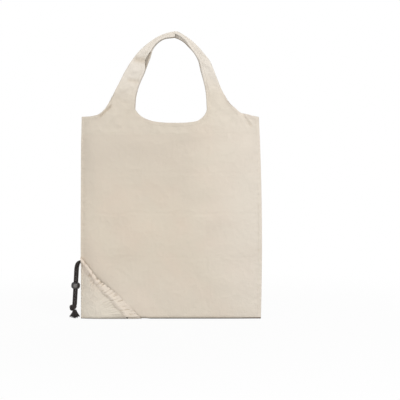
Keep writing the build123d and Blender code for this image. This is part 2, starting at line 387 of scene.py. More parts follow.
def tube(line, radius, reference, closed=False):
    """A tube along a line. radius is one row of distances for each point of the line. Its rings
    stand square to the line, turned so that they start away from the reference direction."""
    if closed:
        heading = unit(np.roll(line, -1, axis=0) - np.roll(line, 1, axis=0))
    else:
        heading = unit(np.gradient(line, axis=0))
    across = unit(np.cross(heading, reference))
    up = np.cross(heading, across)
    turns = np.linspace(0, tau, radius.shape[1], endpoint=False)
    ring = np.cos(turns)[:, None] * across[:, None] + np.sin(turns)[:, None] * up[:, None]
    points = line[:, None] + ring * radius[..., None]
    index = ring_numbers(points.shape)
    if closed:
        index = np.concatenate([index, index[:1]], axis=0)
    faces = grid_faces(index, flip=True).tolist()
    along = distances(line)
    uv = stacked(turns[None] / tau * 3 * cord_diameter, along[:, None])
    points = points.reshape(-1, 3)
    uv = uv.reshape(-1, 2)
    if not closed:
        total = len(points)
        points = np.concatenate([points, line[[0, -1]]])
        uv = np.concatenate([uv, [(0, 0), (0, along[-1])]])
        first = index[0]
        last = index[-1]
        faces += [[total, a, b] for a, b in zip(first[:-1], first[1:])]
        faces += [[total + 1, b, a] for a, b in zip(last[:-1], last[1:])]
    return points, faces, uv


def braided(line, diameter, strands=5, pitch=3.4 * mm, sides=30):
    """Ring distances of a braid: two opposite sets of helical strands, and at each place the higher
    one shows. Each strand is raised where it passes over and lowered where it passes under."""
    along = distances(line)[:, None]
    turns = np.linspace(0, tau, sides, endpoint=False)[None]
    right = (strands * turns + tau * along / pitch) / 2
    left = (strands * turns - tau * along / pitch) / 2
    over = np.sin(right) * np.sin(left)
    upper = np.abs(np.cos(right)) * (0.8 + 0.2 * over)
    lower = np.abs(np.cos(left)) * (0.8 - 0.2 * over)
    return diameter / 2 * (0.83 + 0.23 * np.maximum(upper, lower))


# ---------------------------------------------------------------- materials
def math_node(tree, operation, first, second=None):
    """What an operation makes of one or two sockets or plain numbers."""
    return new_node(tree, "ShaderNodeMath", {0: first, 1: second}, operation=operation).outputs[0]


def new_material(name, inputs):
    """A material whose shader has those inputs, its node tree and its shader."""
    material = bpy.data.materials.new(name)
    material.use_nodes = True
    tree = material.node_tree
    shader = tree.nodes["Principled BSDF"]
    feed(shader, inputs)
    return material, tree, shader


def linear(red, green, blue):
    """A colour as it looks, from 0 to 255, as the linear colour that a shader wants."""
    shares = np.array((red, green, blue)) / 255
    values = np.where(shares <= 0.04045, shares / 12.92, ((shares + 0.055) / 1.055) ** 2.4)
    return (*values.tolist(), 1)


def object_place(tree):
    """Where a place lies in space, in metres."""
    return new_node(tree, "ShaderNodeTexCoord", {}).outputs["Object"]


def cloth_place(tree):
    """Where a place lies on its cloth, laid flat, in metres."""
    return new_node(tree, "ShaderNodeUVMap", {}, uv_map="cloth").outputs[0]


def attribute(tree, name, output):
    """An attribute of the mesh."""
    return new_node(tree, "ShaderNodeAttribute", {}, attribute_name=name).outputs[output]


def axes_of(tree, coordinates):
    """The x, y and z of coordinates, by their capital letters."""
    return new_node(tree, "ShaderNodeSeparateXYZ", {0: coordinates}).outputs


def noise(tree, coordinates, scale, detail=3.0, stretch=(1, 1, 1)):
    """A noise texture over coordinates that are first stretched."""
    mapping = new_node(tree, "ShaderNodeMapping", {"Vector": coordinates, "Scale": stretch})
    inputs = {"Vector": mapping.outputs[0], "Scale": scale, "Detail": detail}
    return new_node(tree, "ShaderNodeTexNoise", inputs).outputs["Fac"]


def ramp(tree, value, low, high, start, end):
    """start below low, end above high, and a smooth change between."""
    inputs = {"Value": value, "From Min": low, "From Max": high, "To Min": start, "To Max": end}
    return new_node(tree, "ShaderNodeMapRange", inputs, interpolation_type="SMOOTHSTEP").outputs[0]


def mixed(tree, share, first, second, blend="MIX"):
    """A colour mix. share, first and second are sockets, numbers or colours."""
    inputs = {0: share, 6: first, 7: second}
    return new_node(tree, "ShaderNodeMix", inputs, data_type="RGBA", blend_type=blend).outputs[2]


def bumped(tree, height, distance, strength, normal=None):
    """A bump of that distance in metres."""
    inputs = {"Height": height, "Distance": distance, "Strength": strength, "Normal": normal}
    return new_node(tree, "ShaderNodeBump", inputs).outputs[0]


def plain_weave(tree, coordinates, pitch):
    """The height of a plain weave: along and across run rows of rounded threads, and the product of
    the two waves, whose sign changes like a chessboard, says which of them lies on top."""
    axes = axes_of(tree, coordinates)
    waves = []
    for axis in ("X", "Y"):
        turns = math_node(tree, "MULTIPLY", axes[axis], pi / pitch)
        waves.append(math_node(tree, "SINE", turns))
    board = math_node(tree, "MULTIPLY", waves[0], waves[1])
    heights = []
    for wave, tilt in zip(waves, (0.4, -0.4)):
        over = math_node(tree, "ADD", math_node(tree, "MULTIPLY", board, tilt), 0.6)
        heights.append(math_node(tree, "MULTIPLY", math_node(tree, "ABSOLUTE", wave), over))
    return math_node(tree, "MAXIMUM", heights[0], heights[1])


# Tones of the cotton as they look, from 0 to 255
# painted light: the paler tone that the cotton fades to up the handles, towards the right and the foot
painted_light_tone = (228, 220, 209)
fleck_tone = (168, 140, 108)
# painted shade: the tone that darkens the creases
crease_shade_tone = (168, 148, 118)
# painted contact shadow: the dark tone along the bag's lowest edge
foot_shadow_tone = (106, 92, 82)


def cotton(name, colour, warm, deep, crumple=0.5, foot_shadow_top=4 * mm):
    """Unbleached cotton in a plain weave, with thicker slub threads both ways, small seed flecks,
    soft patches of warmer cloth and a fine crumple. Painted light makes it paler up the handles,
    and partly towards the right and the foot; painted shade makes it deeper on the upper left, in
    creases and between the threads of the weave; and a painted contact shadow darkens its lowest
    edge, up to the height that its last argument gives."""
    shine = {"Roughness": 0.92, "Specular IOR Level": 0.12, "Sheen Weight": 0.12, "Sheen Roughness": 0.6}
    material, tree, shader = new_material(name, shine)
    uv = cloth_place(tree)
    weave = plain_weave(tree, uv, 0.5 * mm)
    weft = noise(tree, uv, 1, 2, (28, 1500, 1))
    warp = noise(tree, uv, 1, 2, (1500, 28, 1))
    slubs = mixed(tree, 0.5, weft, warp)
    patches = noise(tree, uv, 14, 3)
    broad = noise(tree, uv, 5.5, 2)
    flecks = noise(tree, uv, 420, 1)
    thick_slubs = noise(tree, uv, 1, 1, (9, 620, 1))

    tone = mixed(tree, ramp(tree, patches, 0.38, 0.68, 0, 1), linear(*colour), linear(*warm))
    axes = axes_of(tree, attribute(tree, "rest", "Vector"))
    # painted shade: a deeper tone on the upper left of the bag
    painted_shade_upper_left = ramp(tree, axes["X"], 0.02, 0.09, 0.75, 0)
    painted_shade_upper_left = math_node(tree, "MULTIPLY", painted_shade_upper_left, ramp(tree, axes["Z"], 0.22, 0.36, 0, 1))
    tone = mixed(tree, painted_shade_upper_left, tone, linear(*deep))
    # painted light: paler up the handles, towards the right and towards the foot
    upwards_share = ramp(tree, axes["Z"], 0.45, 0.53, 0, 1)
    rightwards_share = ramp(tree, axes["X"], 0, 0.19, 0, 0.6)
    footwards_share = ramp(tree, axes["Z"], 0.02, 0.15, 0.3, 0)
    fade = math_node(tree, "MAXIMUM", upwards_share, rightwards_share)
    fade = math_node(tree, "MAXIMUM", fade, footwards_share)
    tone = mixed(tree, fade, tone, linear(*painted_light_tone))
    for pattern, low, high, strength, other in (
        (broad, 0.5, 0.75, 0.55, deep),
        (slubs, 0.35, 0.7, 0.16, deep),
        (thick_slubs, 0.66, 0.74, 0.22, deep),
        (flecks, 0.76, 0.82, 0.3, fleck_tone),
        # painted shade in the creases
        (attribute(tree, "crease_shade", "Fac"), 0, 1, 0.78, crease_shade_tone),
    ):
        tone = mixed(tree, ramp(tree, pattern, low, high, 0, strength), tone, linear(*other))
    # painted shade between the threads of the weave
    thread_gap_shade = ramp(tree, weave, 0.1, 0.55, 0.82, 1.0)
    tone = mixed(tree, 1.0, tone, thread_gap_shade, "MULTIPLY")
    # painted contact shadow along the lowest edge
    foot_shadow_share = ramp(tree, axes["Z"], foot_shadow_top - 1.6 * mm, foot_shadow_top, 0.85, 0)
    tone = mixed(tree, foot_shadow_share, tone, linear(*foot_shadow_tone))

    crumples = noise(tree, uv, 60, 4)
    normal = bumped(tree, crumples, 3 * mm, crumple)
    normal = bumped(tree, slubs, 0.25 * mm, 0.5, normal)
    normal = bumped(tree, weave, 0.12 * mm, 0.6, normal)
    feed(shader, {"Base Color": tone, "Normal": normal})
    return material


def thread(name, colour):
    """Twisted sewing thread: fine slanting plies, darkened in their grooves by painted shade, and small
    changes of tone.
    """
    material, tree, shader = new_material(name, {"Roughness": 0.8, "Specular IOR Level": 0.2})
    place = object_place(tree)
    wave = {"Vector": place, "Scale": 900, "Distortion": 1.5}
    plies = new_node(tree, "ShaderNodeTexWave", wave, bands_direction="DIAGONAL").outputs["Fac"]
    tones = noise(tree, place, 90)
    darker = [0.9 * part for part in colour]
    tone = mixed(tree, ramp(tree, tones, 0.3, 0.7, 0, 1), linear(*colour), linear(*darker))
    # painted shade in the grooves between the plies
    tone = mixed(tree, 1.0, tone, ramp(tree, plies, 0, 1, 0.86, 1), "MULTIPLY")
    feed(shader, {"Base Color": tone, "Normal": bumped(tree, plies, 0.1 * mm, 0.5)})
    return material


def cord_fibre(name, colour, light):
    """Dark braided cotton: fine fibres along the strands, some of them lighter, and soft patches of a
    darker tone."""
    shine = {"Roughness": 0.78, "Specular IOR Level": 0.3, "Sheen Weight": 0.25, "Sheen Roughness": 0.4}
    material, tree, shader = new_material(name, shine)
    place = cloth_place(tree)
    fibres = noise(tree, place, 1, 3, (2600, 500, 1))
    cloudy = noise(tree, place, 160, 2)
    tone = mixed(tree, ramp(tree, fibres, 0.4, 0.75, 0, 1), linear(*colour), linear(*light))
    darker = [0.7 * part for part in colour]
    tone = mixed(tree, ramp(tree, cloudy, 0.35, 0.65, 0, 0.5), tone, linear(*darker))
    feed(shader, {"Base Color": tone, "Normal": bumped(tree, fibres, 0.3 * mm, 0.7)})
    return material


def bead_plastic(name, middle):
    """Black moulded plastic, satin with a faint orange-peel surface and scuffed by handling, with a
    painted highlight that makes it paler round the middle, as seen from the front or the back."""
    material, tree, shader = new_material(name, {"Specular IOR Level": 0.6})
    place = object_place(tree)
    scuffs = noise(tree, place, 1, 4, (300, 300, 2600))
    clouds = noise(tree, place, 240, 2)
    from_middle = {0: place, 1: (1, 0, 1), 2: (-middle[0], 0, -middle[2])}
    offset = new_node(tree, "ShaderNodeVectorMath", from_middle, operation="MULTIPLY_ADD")
    away = new_node(tree, "ShaderNodeVectorMath", {0: offset.outputs["Vector"]}, operation="LENGTH")
    # painted highlight: a paler grey round the middle of the bead
    painted_highlight_share = ramp(tree, away.outputs["Value"], 2 * mm, 6 * mm, 0.85, 0)
    tone = mixed(tree, ramp(tree, scuffs, 0.55, 0.75, 0, 0.6), linear(22, 21, 21), linear(52, 50, 48))
    tone = mixed(tree, painted_highlight_share, tone, linear(112, 109, 106))
    roughness = ramp(tree, clouds, 0.3, 0.7, 0.36, 0.48)
    normal = bumped(tree, clouds, 0.1 * mm, 0.25)
    feed(shader, {"Base Color": tone, "Roughness": roughness, "Normal": normal})
    return material


body_cotton = cotton("body_cotton", (219, 208, 191), (220, 206, 189), (211, 200, 185))
handle_cotton = cotton("handle_cotton", (219, 208, 191), (220, 206, 189), (215, 205, 190), 0.7)
pouch_cotton = cotton("pouch_cotton", (231, 222, 206), (231, 217, 200), (222, 211, 194), 0.8, 2.4 * mm)
# painted shade: the gathered casing gets a slightly deeper copy of the pouch cotton
gathered_shaded_cotton = cotton("gathered_shaded_cotton", (231, 219, 204), (231, 216, 200), (221, 208, 192), 0.8, 2.4 * mm)
sewing_thread = thread("sewing_thread", (229, 219, 202))
black_cord = cord_fibre("black_cord", (35, 30, 29), (74, 66, 62))
bead_middle = np.mean([list(corner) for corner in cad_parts["bead"].bound_box], axis=0)
black_plastic = bead_plastic("black_plastic", bead_middle.tolist())


def finish_piece(piece, slot, *nodes):
    """Hide the CAD nodes that a piece stands for. The finish, slot, is not used."""
    if nodes:
        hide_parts(*nodes)
    return piece


# ---------------------------------------------------------------- cords
def cord_line(name, points):
    """The smooth line that a cord's given points control: a NURBS spline of order 3."""
    curve = bpy.data.curves.new(name, "CURVE")
    curve.dimensions = "3D"
    curve.resolution_u = 20
    spline = curve.splines.new("NURBS")
    spline.points.add(len(points) - 1)
    for control, point in zip(spline.points, points):
        control.co = (*[value * mm for value in point], 1)
    spline.order_u = 3
    spline.use_endpoint_u = True
    holder = bpy.data.objects.new(name, curve)
    mesh = bpy.data.meshes.new_from_object(holder)
    line = np.zeros(3 * len(mesh.vertices))
    mesh.vertices.foreach_get("co", line)
    bpy.data.meshes.remove(mesh)
    bpy.data.objects.remove(holder)
    bpy.data.curves.remove(curve)
    return line.reshape(-1, 3)


def braided_cord(name, points, reference):
    """A braided cord mesh along its route, the line that it follows and its length."""
    line = cord_line(name, points)
    length = length_of(line)
    line = resampled(int(length / (0.45 * mm)), line)[0]
    return new_piece(name, *tube(line, braided(line, cord_diameter), reference), black_cord), line, length


# The routes in millimetres. The drawstring runs down the front casing, under the bag and up the back.
front_route = [
    (-190, -5.6, 123.5),
    (-181, -8.6, 114),
    (-168, -18.5, 97),
    (-154, -22.4, 79),
    (-96, -22, 14.3),
    (-92, -20, 3.3),
]
drawstring_route = front_route + [(x, -y, z) for x, y, z in reversed(front_route)]
front_tail_route = [
    (-190, -5.6, 123.5),
    (-196.4, -4.9, 123.2),
    (-202.2, -2.8, 117.5),
    (-204.5, 0, 107.153),
    (-204.87, 0, 100.5),
    (-206.45, 0, 72),
    (-208.9, 0, 31.153),
]
back_tail_route = [
    (-190, 5.6, 123.5),
    (-194.8, 5, 122.6),
    (-198.4, 3.2, 116.2),
    (-199.5, 0, 106.847),
    (-199.85, 0, 100.2),
    (-201.35, 0, 72),
    (-203.9, 0, 30.847),
]
# The knot lies along the tail's strands, which lean a little
upwards = np.array((0.0578, 0, 0.9983))
sideways = np.array((0.9983, 0, -0.0578))
knot_centre = np.array((-210.2, 0, 24.0)) * mm


def knot():
    """An overhand knot: a braided cord along a trefoil, drawn tight and a little flattened, with the
    two strands of the tail running down into it."""
    turns = np.linspace(0, tau, 240, endpoint=False)[:, None]
    reach = 4.0 * mm + 2.1 * mm * np.cos(3 * turns)
    flattened = 0.74
    lean = radians(28)
    across = sideways * cos(lean) + upwards * sin(lean)
    above = upwards * cos(lean) - sideways * sin(lean)
    depth = np.array((0, 1, 0))
    line = knot_centre + reach * np.cos(2 * turns) * across + reach * np.sin(2 * turns) * above * flattened
    line = line + 2.9 * mm * np.sin(3 * turns) * depth
    outwards = unit(line - knot_centre)
    radius = braided(line, cord_diameter, pitch=3.2 * mm, sides=24)
    parts = [tube(line, radius, outwards, closed=True)]
    for route, lean_in in ((front_tail_route, -1.5), (back_tail_route, -4)):
        top = np.array(route[-1])
        inside_knot = (top[0] + lean_in, 0, 21)
        strand = np.linspace(top, inside_knot, 24) * mm
        parts.append(tube(strand, braided(strand, cord_diameter), (0, 1, 0)))
    piece = new_piece("cord_knot_tied", *joined(parts), black_cord)
    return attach(finish_piece(piece, "cord", "cord_knot"), "bag")


def frayed_end(node, root, heading, spread, seed):
    """A cut cord end: a short braid that opens into thin tapering fibres, which bend outwards."""
    random = np.random.default_rng(seed)
    fibres = 110
    length = 15.5 * mm
    root = np.array(root) * mm
    heading = unit(np.array(heading, float))
    beside = unit(np.cross(heading, (0, 1, 0)))
    depth = np.cross(heading, beside)
    angle = random.uniform(0, tau, (fibres, 1))
    reach = np.sqrt(random.uniform(0, 1, (fibres, 1)))
    t = np.linspace(0, 1, 7)[None]
    lengths = length * random.uniform(0.75, 1.0, (fibres, 1))
    width = (2.2 + spread * t**1.5) * mm * reach + 0.5 * mm * np.sin(5 * t + angle) * t
    radial = np.cos(angle)[..., None] * beside + np.sin(angle)[..., None] * depth * 0.7
    line = root + heading * (t * lengths)[..., None] + radial * width[..., None]
    line[..., 2] = np.maximum(line[..., 2], 0.4 * mm)
    points, faces = thin_tubes(line, 0.42 * mm * (1 - 0.55 * t), beside, depth)
    uv = stacked(points[..., 0] + points[..., 1], points[..., 2])
    core_line = root - heading * 2.5 * mm + heading * np.linspace(0, 0.75 * length, 24)[:, None]
    core_size = np.linspace(1, 1.15, 24)[:, None] * braided(core_line, cord_diameter, sides=24)
    core = tube(core_line, core_size, (0, 1, 0))
    piece = new_piece(f"{node}_frayed", *joined([(points, faces, uv), core]), black_cord)
    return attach(finish_piece(piece, "cord", node), "bag")


def make_cords():
    """The drawstring, the two strands of its tail, the knot, the frayed ends and the bead. It returns
    the line that the drawstring follows."""
    channel_normal = (0.74, 0, 0.67)
    drawstring, channel_line, _ = braided_cord("drawstring_cord", drawstring_route, channel_normal)
    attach(finish_piece(drawstring, "cord", "drawstring"), "bag")
    tied = knot()
    end_front = frayed_end("cord_end_front", (-208.6, 0.4, 16.5), (-0.16, -0.05, -1), 5.2, 3)
    end_back = frayed_end("cord_end_back", (-204.6, -0.4, 16.5), (0.26, 0.05, -1), 4.6, 4)
    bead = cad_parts["bead"]
    bead.data.materials.clear()
    bead.data.materials.append(black_plastic)
    for name, node, route, pieces in (
        ("cord_tail_front_braid", "cord_tail_front", front_tail_route, [bead, tied, end_front]),
        ("cord_tail_back_braid", "cord_tail_back", back_tail_route, [end_back]),
    ):
        tail, line, length = braided_cord(name, route, (0, 1, 0))
        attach(finish_piece(tail, "cord", node), "bag")
    return channel_line


# ---------------------------------------------------------------- the shape of the cloth
def left_edge(z):
    """x of the left side seam, which spreads a little towards the bottom and bows out by 1.2 mm
    between the pouch and the shoulder."""
    bow = smooth_step((z - 95 * mm) / (50 * mm)) * smooth_step((415 * mm - z) / (45 * mm))
    return -(foot_reach - 3 * mm * z / body_height) - 1.2 * mm * bow


def right_edge(z):
    """x of the right side seam: an even bow, widest a third of the way up."""
    return 187.5 * mm + 7 * mm * (1 - ((z - 150 * mm) / (281 * mm)) ** 2)


def seam_line(hand, z):
    """x of the left or the right side seam."""
    return left_edge(z) if hand < 0 else right_edge(z)


def inset(x, z):
    """Distance in from the nearer side seam."""
    return np.where(x > 0, right_edge(z) - x, x - left_edge(z))


def wall_depth(x, z, full=half_depth, seam=seam_half, foot=0.0):
    """How far a wall's outer face stands from the centre plane: pressed flat over the side seam, a
    rise that eases out to its full depth, a quarter circle at the very edge and a rounded foot. On
    the right, below the facing, the rise is broader."""
    from_edge = np.maximum(inset(x, z), 0)
    broad = 50 * mm * (x > 0) * (1 - smooth_step((z - 290 * mm) / (100 * mm)))
    climbed = np.clip((from_edge - seam_width) / (slope_width + broad), 0, 1)
    level = seam + (full - seam) * (1 - (1 - climbed) ** slope_power)
    edge = np.clip(from_edge / seam, 0, 1)
    down = np.clip((z - foot) / foot_radius, 0, 1)
    return level * np.sqrt(edge * (2 - edge)) * (1 - (1 - down) ** foot_power) ** 0.5


def meet_pouch(x, z, depth):
    """The lower cloth's depth, swollen so that the pouch lies close on it: 1.6 mm under the pouch's
    own depth at its mouth, further from it deep inside, and easing back to the wall over 45 mm
    outside it."""
    beyond = (x + foot_reach) * off_mouth[0] + (z - mouth_top) * off_mouth[1]
    share = 1 - smooth_step((beyond - 3 * mm) / (45 * mm))
    gap = 1.6 * mm + 1.8 * mm * smooth_step((-12 * mm - beyond) / (25 * mm))
    under_pouch = wall_depth(x, z, pouch_depth, pouch_seam_half) - gap
    return depth + np.maximum(under_pouch - depth, 0) * share


def body_relief(x, z, side):
    """Outward relief of the lower cloth: slack, crumple, seam puckers and pressed-in fold lines, three
    of them level and one upright. All but the puckers are calm near the seams, the foot and the
    facing line, where the stitches draw a shallow groove."""
    seed = 10 if side == FRONT else 30
    from_edge = inset(x, z)
    calm = smooth_step(from_edge / (26 * mm)) * smooth_step(z / (30 * mm))
    slack = 1.5 * mm * relief(x, z, 150 * mm, seed) + 0.7 * mm * relief(x, z, 60 * mm, seed + 1, 1.8)
    crumple = 0.35 * mm * ridges(x, z, 46 * mm, seed + 2, 1.5)
    pucker = 0.35 * mm * relief(x, z, 11 * mm, seed + 3, 2.5) * bell(from_edge, 16 * mm)
    wander = 1.5 * mm * relief(x, x * 0, 90 * mm, seed + 4)
    folds = 0.0
    for height, depth in ((fold_line, 0.55 * mm), (312 * mm, 0.3 * mm), (132 * mm, 0.28 * mm)):
        near = z - height - wander
        folds = folds - depth * bell(near, 2.6 * mm) + 0.3 * depth * bell(near, 7.8 * mm)
    folds = folds - 0.22 * mm * bell(x - 78 * mm - wander, 3 * mm)
    groove = 0.1 * mm * bell(z - facing_line, 3 * mm)
    total = (slack + crumple + folds) * (1 - bell(z - facing_line, 14 * mm)) - groove
    sewn = smooth_step((facing_line - z) / (8 * mm)) * smooth_step(z / (12 * mm))
    return total * calm + pucker * sewn


# The mouth and the handles as seen from the front, in millimetres, each from its lower end
left_shoulder = [(-190, 431), (-166, 432.2), (-148.5, 437.5), (-137.5, 448)]
right_shoulder = [(137.5, 448), (146, 440), (164, 435.2), (187.5, 430.5)]
mouth = [(-77, 448), (-73.5, 442.5), (-61, 430.5), (-45, 423), (-20, 418.5), (8, 417.5), (38, 418.5)]
mouth += [(59, 423), (69.5, 431.5), (75.5, 441), (77, 448)]
outer_left = [(-137.5, 448), (-116, 489), (-93.5, 533), (-70.8, 565.5), (-57.8, 578.5), (-42.5, 591)]
outer_left += [(-27, 600.7), (-10, 607.8), (9, 612)]
inner_left = [(-77, 448), (-75, 472), (-68, 499), (-55, 526), (-45.5, 551), (-36, 579), (-18, 595), (9, 600)]
outer_right = [(137.5, 448), (127.2, 457.2), (114.3, 476), (108.3, 488), (97.3, 514), (80.2, 553)]
outer_right += [(69.4, 566), (59, 578.5), (46, 591), (26, 604.8), (13, 611), (2, 610)]
inner_right = [(77, 448), (76, 467), (73.5, 490), (69, 509), (63.3, 528), (57.5, 551), (49, 567)]
inner_right += [(38.5, 579), (26, 591), (14, 597.5), (2, 601)]

near_seam = np.array((0, 0.12, 0.5, 1.25)) * mm  # the columns where a wall turns round at its seam
first_even = 3 * mm  # where its evenly spaced columns start
shoulder_count = 26
foot_rows = 9
body_rows = 176
strap_columns = 30
strap_rows = 150
band_rows = 26
mouth_columns = 84


def shoulder_columns(points, at_left):
    """Places along a shoulder, with a few close to the side seam where the wall turns round."""
    curve = through(points, 400)
    end = curve[0, 0] if at_left else curve[-1, 0]
    reach = abs(curve[-1, 0] - curve[0, 0])
    steps = np.concatenate([near_seam, np.linspace(first_even, reach, shoulder_count)])
    x = end + steps if at_left else (end - steps)[::-1]
    return stacked(x, np.interp(x, curve[:, 0], curve[:, 1]))


def top_outline():
    """The upper edge of a wall from left to right, and the columns on which its two straps stand."""
    base = np.linspace(strap_outside, strap_inside, strap_columns)
    parts = [
        shoulder_columns(left_shoulder, True),
        stacked(-base, handle_base)[1:],
        through(mouth, mouth_columns)[1:],
        stacked(base[::-1], handle_base)[1:],
        shoulder_columns(right_shoulder, False)[1:],
    ]
    first = len(parts[0]) - 1
    last = first + strap_columns + mouth_columns - 2
    return np.concatenate(parts), slice(first, first + strap_columns), slice(last, last + strap_columns)


outline, left_foot, right_foot = top_outline()


def even_columns(z):
    """The columns of a level row, from side seam to side seam, with a few close to each edge."""
    middle = len(outline) - 2 * len(near_seam)
    x_left = left_edge(z) + near_seam
    x_right = (right_edge(z) - near_seam)[::-1]
    between = np.linspace(left_edge(z) + first_even, right_edge(z) - first_even, middle)
    return np.concatenate([x_left, between, x_right])


def body_cloth(side):
    """One wall below the facing line: level rows from seam to seam, pushed out to the wall's depth,
    and lifted into a small arch where the drawstring passes under it."""
    low = foot_radius * (1 - np.cos(np.linspace(0, pi / 2, foot_rows))) * 1.1
    heights = np.concatenate([low, np.linspace(low[-1], facing_line, body_rows)[1:]])
    x = np.stack([even_columns(z) for z in heights])
    z = np.repeat(heights[:, None], x.shape[1], axis=1)
    depth = meet_pouch(x, z, wall_depth(x, z)) + body_relief(x, z, side)
    under = smooth_step((-42 * mm - x) / (14 * mm)) * 0.9 * mm
    arch = 6.2 * mm * bell(x - cord_crossing, 6.5 * mm)
    lifted = z + (under + arch) * (1 - smooth_step(z / (38 * mm)))
    points = stacked(x, side * depth, lifted)
    name = SIDES[side]
    faces = grid_faces(numbers(x.shape), side == BACK)
    piece = new_piece(f"{name}_body", points, faces, stacked(x, z), body_cotton)
    thicken(piece)
    nodes = [f"{name}_panel_lower"] + (["bottom_fold"] if side == FRONT else [])
    finish_piece(piece, "cotton", *nodes)
    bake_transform(piece)


# Creases of the upper cloth: start, end, width and height in millimetres
top_creases = {
    FRONT: [
        ((150, 440), (182, 404), 2.6, 1.4),
        ((147, 446), (176, 402), 2.6, -3.0),
        ((158, 441), (187, 421), 2.2, 1.2),
        ((141, 437), (168, 399), 3.2, 1.0),
        ((-120, 460), (-158, 423), 2.4, -4.2),
        ((-150, 436), (-184, 412), 3.0, 0.9),
        ((-128, 462), (-158, 430), 3.0, 1.4),
        ((-96, 452), (-150, 402), 6.0, 1.1),
        ((-84, 448), (-112, 400), 5.0, -1.0),
        ((90, 450), (120, 402), 5.0, 1.0),
        ((-112, 480), (-76, 502), 5.0, 2.4),
        ((-98, 509), (-60, 503), 5.0, -3.0),
        ((-92, 526), (-54, 531), 5.0, 1.6),
        ((-86, 554), (-40, 547), 8.0, -4.4),
        ((-72, 574), (-38, 568), 4.5, 2.0),
        ((-142, 444), (-70, 438), 9.0, -0.8),
        ((100, 486), (72, 524), 7.0, -1.4),
        ((108, 506), (80, 540), 4.5, 1.6),
        ((88, 532), (56, 554), 4.0, 1.6),
        ((80, 552), (50, 570), 3.5, -1.4),
        ((-122, 474), (-86, 454), 5.0, -1.4),
    ],
    BACK: [
        ((-150, 440), (-180, 408), 2.6, 1.2),
        ((148, 438), (180, 410), 3.0, 1.0),
        ((-108, 470), (-78, 505), 5.0, 2.0),
        ((-98, 525), (-58, 520), 4.5, -1.8),
        ((106, 480), (76, 512), 5.0, 1.8),
        ((92, 530), (60, 540), 4.5, -1.8),
        ((-60, 520), (-38, 588), 7.0, -4.6),
        ((-8, 607), (50, 576), 8.0, -9.0),
        ((60, 452), (110, 404), 6.0, 1.0),
    ],
}


def top_relief(x, z, side):
    """Outward relief of the upper cloth: slack, crumple, the listed creases and the groove of the
    stitches on the facing line, calm at the side seams."""
    seed = 50 if side == FRONT else 70
    rise = smooth_step((z - facing_line) / (20 * mm))
    slack = 0.9 * mm * relief(x, z, 70 * mm, seed) + 0.45 * mm * relief(x, z, 26 * mm, seed + 1)
    crumple = 0.4 * mm * ridges(x, z, 30 * mm, seed + 2)
    folds = sum(crease(x, z, *fold) for fold in top_creases[side])
    groove = 0.1 * mm * bell(z - facing_line, 3 * mm)
    calm = smooth_step(inset(x, np.minimum(z, body_height)) / (14 * mm))
    return ((slack + crumple) * rise + folds - groove) * calm


def crease_shade_share(points, side):
    """How far down in the listed creases each place lies, from 0 to 1 at the depth of full tone."""
    # painted shade: the share of the crease tone that darkens each place
    full_tone = 9 * mm
    folds = sum(crease(points[..., 0], points[..., 2], *fold) for fold in top_creases[side])
    return np.clip(-folds / full_tone, 0, 1)


def band_points(x, z, side):
    """Points of the upper cloth below the straps."""
    depth = wall_depth(x, np.minimum(z, body_height)) + top_relief(x, z, side)
    return stacked(x, side * depth, z)


def band_grid(side):
    """The cloth from the facing line up to the mouth, the shoulders and the foot of the straps. Its
    columns start evenly spaced and run up to the outline."""
    share = np.linspace(0, 1, band_rows)[:, None]
    x = even_columns(facing_line) * (1 - share) + outline[:, 0] * share
    z = facing_line + (outline[:, 1] - facing_line) * share
    return band_points(x, z, side)


